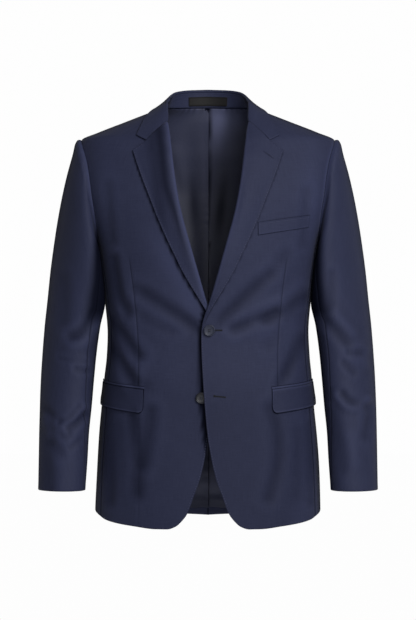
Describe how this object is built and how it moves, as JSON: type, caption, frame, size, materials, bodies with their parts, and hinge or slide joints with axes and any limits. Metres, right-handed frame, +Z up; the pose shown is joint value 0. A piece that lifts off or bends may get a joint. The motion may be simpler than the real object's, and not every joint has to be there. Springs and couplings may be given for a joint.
{
  "type": "suit jacket",
  "caption": "Single-breasted suit jacket with notch lapels, flapped hip pockets, a chest welt pocket, a lined back and rounded fronts, filled out as if worn.",
  "frame": {"origin": "middle of the neck opening, level with the neck ends of the shoulder seams, where the wearer's shoulders carry the jacket", "axes": "+Z up from the hem to the collar, -Y the way the fronts face, +X the wearer's left"},
  "size_m": [0.6164, 0.2563, 0.8021],
  "materials": {
    "wool": "fine dark navy worsted wool with a soft sheen",
    "lining": "blue-grey satin",
    "button": "dark blue-grey, four holes, polished",
    "label": "black woven satin, bare"
  },
  "bodies": {
    "root": {"back_left": "wool", "back_right": "wool", "button_lower": "button", "button_top": "button", "chest_welt": "wool", "collar_fall": "wool", "collar_stand": "wool", "flap_left": "wool", "flap_right": "wool", "front_left": "wool", "front_right": "wool", "jetting_left": "wool", "jetting_right": "wool", "label": "label", "lapel_left": "wool", "lapel_right": "wool", "lining_left": "lining", "lining_right": "lining", "side_left": "wool", "side_right": "wool", "top_sleeve_left": "wool", "top_sleeve_right": "wool", "under_sleeve_left": "wool", "under_sleeve_right": "wool"}
  },
  "joints": []
}
